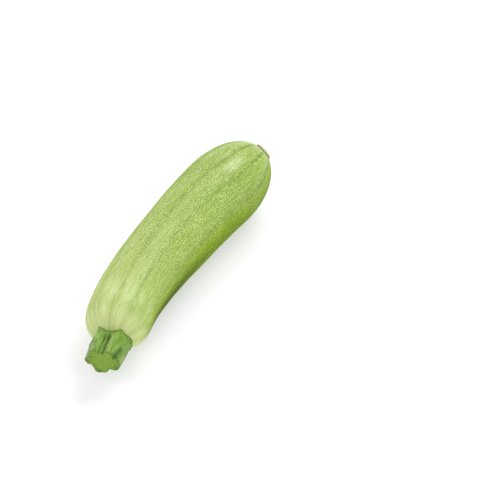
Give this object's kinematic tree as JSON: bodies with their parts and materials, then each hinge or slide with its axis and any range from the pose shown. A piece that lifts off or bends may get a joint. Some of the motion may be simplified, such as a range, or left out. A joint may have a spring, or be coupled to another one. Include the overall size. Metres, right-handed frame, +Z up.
{
  "type": "courgette",
  "caption": "Pale green ribbed courgette lying on its side, gently bent, with a ridged cut stalk and a corky blossom scar.",
  "frame": {"origin": "on the resting surface, under the middle of the bounding box", "axes": "+X along the courgette from the cut stalk to the blossom end, +Z up, and the middle of the bent fruit bows towards +Y"},
  "size_m": [0.2034, 0.0548, 0.0528],
  "materials": {
    "skin": "waxy vegetable skin, pale green with fine yellow flecks, soft gloss",
    "stalk": "green fibrous stalk, ridged, dull sheen",
    "cork": "dry tan cork, matte"
  },
  "bodies": {
    "root": {"fruit": "skin", "peduncle": "stalk", "blossom_scar": "cork"}
  },
  "joints": []
}
